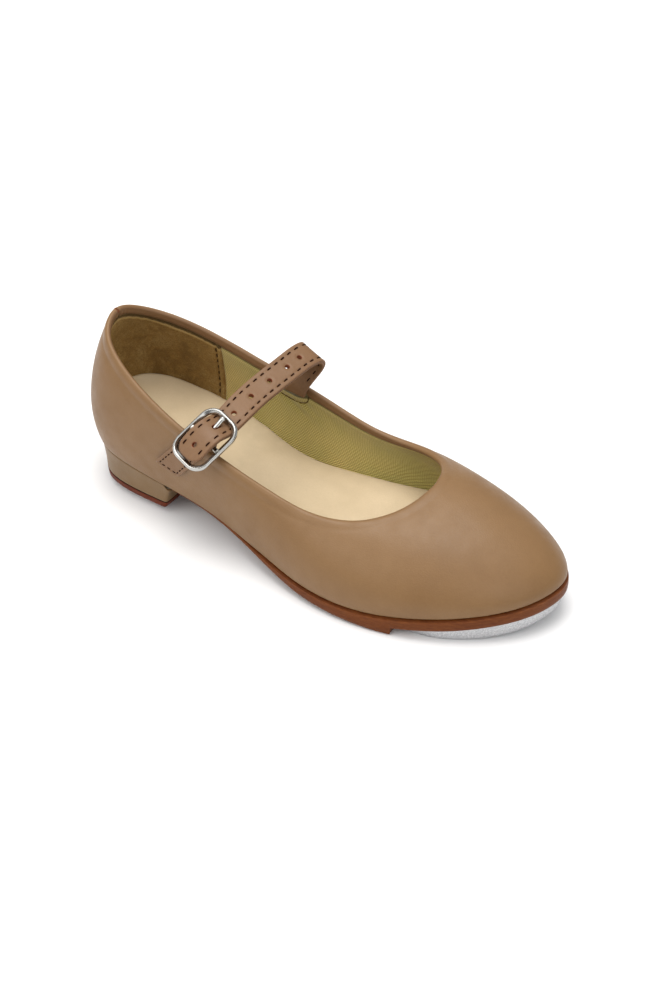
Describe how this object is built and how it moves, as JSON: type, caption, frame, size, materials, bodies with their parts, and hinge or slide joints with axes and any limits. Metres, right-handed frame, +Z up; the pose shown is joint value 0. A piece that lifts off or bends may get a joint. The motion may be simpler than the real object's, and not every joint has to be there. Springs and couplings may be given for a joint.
{
  "type": "tap shoe",
  "caption": "Low-heeled single-strap tap shoe for a child's right foot, with a metal tap under the toe and one under the heel and a centre-bar buckle.",
  "frame": {"origin": "on the ground face of the heel tap, near its middle and on the shoe's long axis", "axes": "+X forward to the toe, +Y to the wearer's left, which is the medial side of this right shoe, +Z up"},
  "size_m": [0.1954, 0.0731, 0.0658],
  "materials": {
    "upper_leather": "smooth tan leather, low sheen",
    "binding_leather": "folded edge of the same leather",
    "strap_leather": "tan leather, stitched and punched",
    "twill_lining": "olive khaki ribbed twill",
    "heel_lining": "brushed mottled brown lining",
    "sock": "cream satin synthetic leather",
    "foam": "pale foam",
    "fibreboard": "pressed cellulose fibre board",
    "cork": "ground cork filler",
    "stiffener": "thermoplastic stiffener sheet",
    "spring_steel": "plain spring steel strip",
    "sole": "red-brown moulded resin sole",
    "heel_core": "hard moulded heel core",
    "heel_leather": "tan leather heel cover",
    "lift": "red-brown lift",
    "tap_aluminium": "polished cast aluminium tap",
    "screw_steel": "plated steel screw",
    "nail_steel": "plain steel nail",
    "nickel": "polished nickel plate"
  },
  "bodies": {
    "shoe": {"upper": "upper_leather", "topline_binding": "binding_leather", "toe_puff": "stiffener", "vamp_lining": "twill_lining", "heel_counter": "stiffener", "heel_lining": "heel_lining", "strap_anchor_patch": "twill_lining", "insole_board": "fibreboard", "shank": "spring_steel", "bottom_filler": "cork", "sock_foam": "foam", "sock_lining": "sock", "outsole": "sole", "toe_tap_board": "fibreboard", "toe_tap": "tap_aluminium", "toe_tap_screws": "screw_steel", "heel_block": "heel_core", "heel_cover": "heel_leather", "heel_lift": "lift", "heel_tap": "tap_aluminium", "heel_tap_screws": "screw_steel", "heel_nails": "nail_steel", "buckle_chape": "strap_leather"},
    "buckle": {"buckle_frame": "nickel"},
    "prong": {"buckle_prong": "nickel"},
    "strap": {"strap_outer": "strap_leather", "strap_backing": "strap_leather"}
  },
  "joints": [
    {"name": "strap_swing", "type": "hinge", "parent": "shoe", "child": "strap", "pos_m": [0.0466, 0.0246, 0.044], "axis": [-0.9547, -0.03, 0.2959], "range_deg": [0, 110], "deforming": ["strap_outer", "strap_backing"]},
    {"name": "buckle_tilt", "type": "hinge", "parent": "shoe", "child": "buckle", "pos_m": [0.0422, -0.0288, 0.0472], "axis": [-0.9341, 0.2245, 0.2776], "range_deg": [0, 20]},
    {"name": "prong_lift", "type": "hinge", "parent": "buckle", "child": "prong", "pos_m": [0.0422, -0.0288, 0.0472], "axis": [0.9341, -0.2245, -0.2776], "range_deg": [0, 88]}
  ],
  "couplings": [
    {"joint": "buckle_tilt", "follows": "strap_swing", "ratio": 0.18182},
    {"joint": "prong_lift", "follows": "strap_swing", "ratio": 0.8}
  ]
}
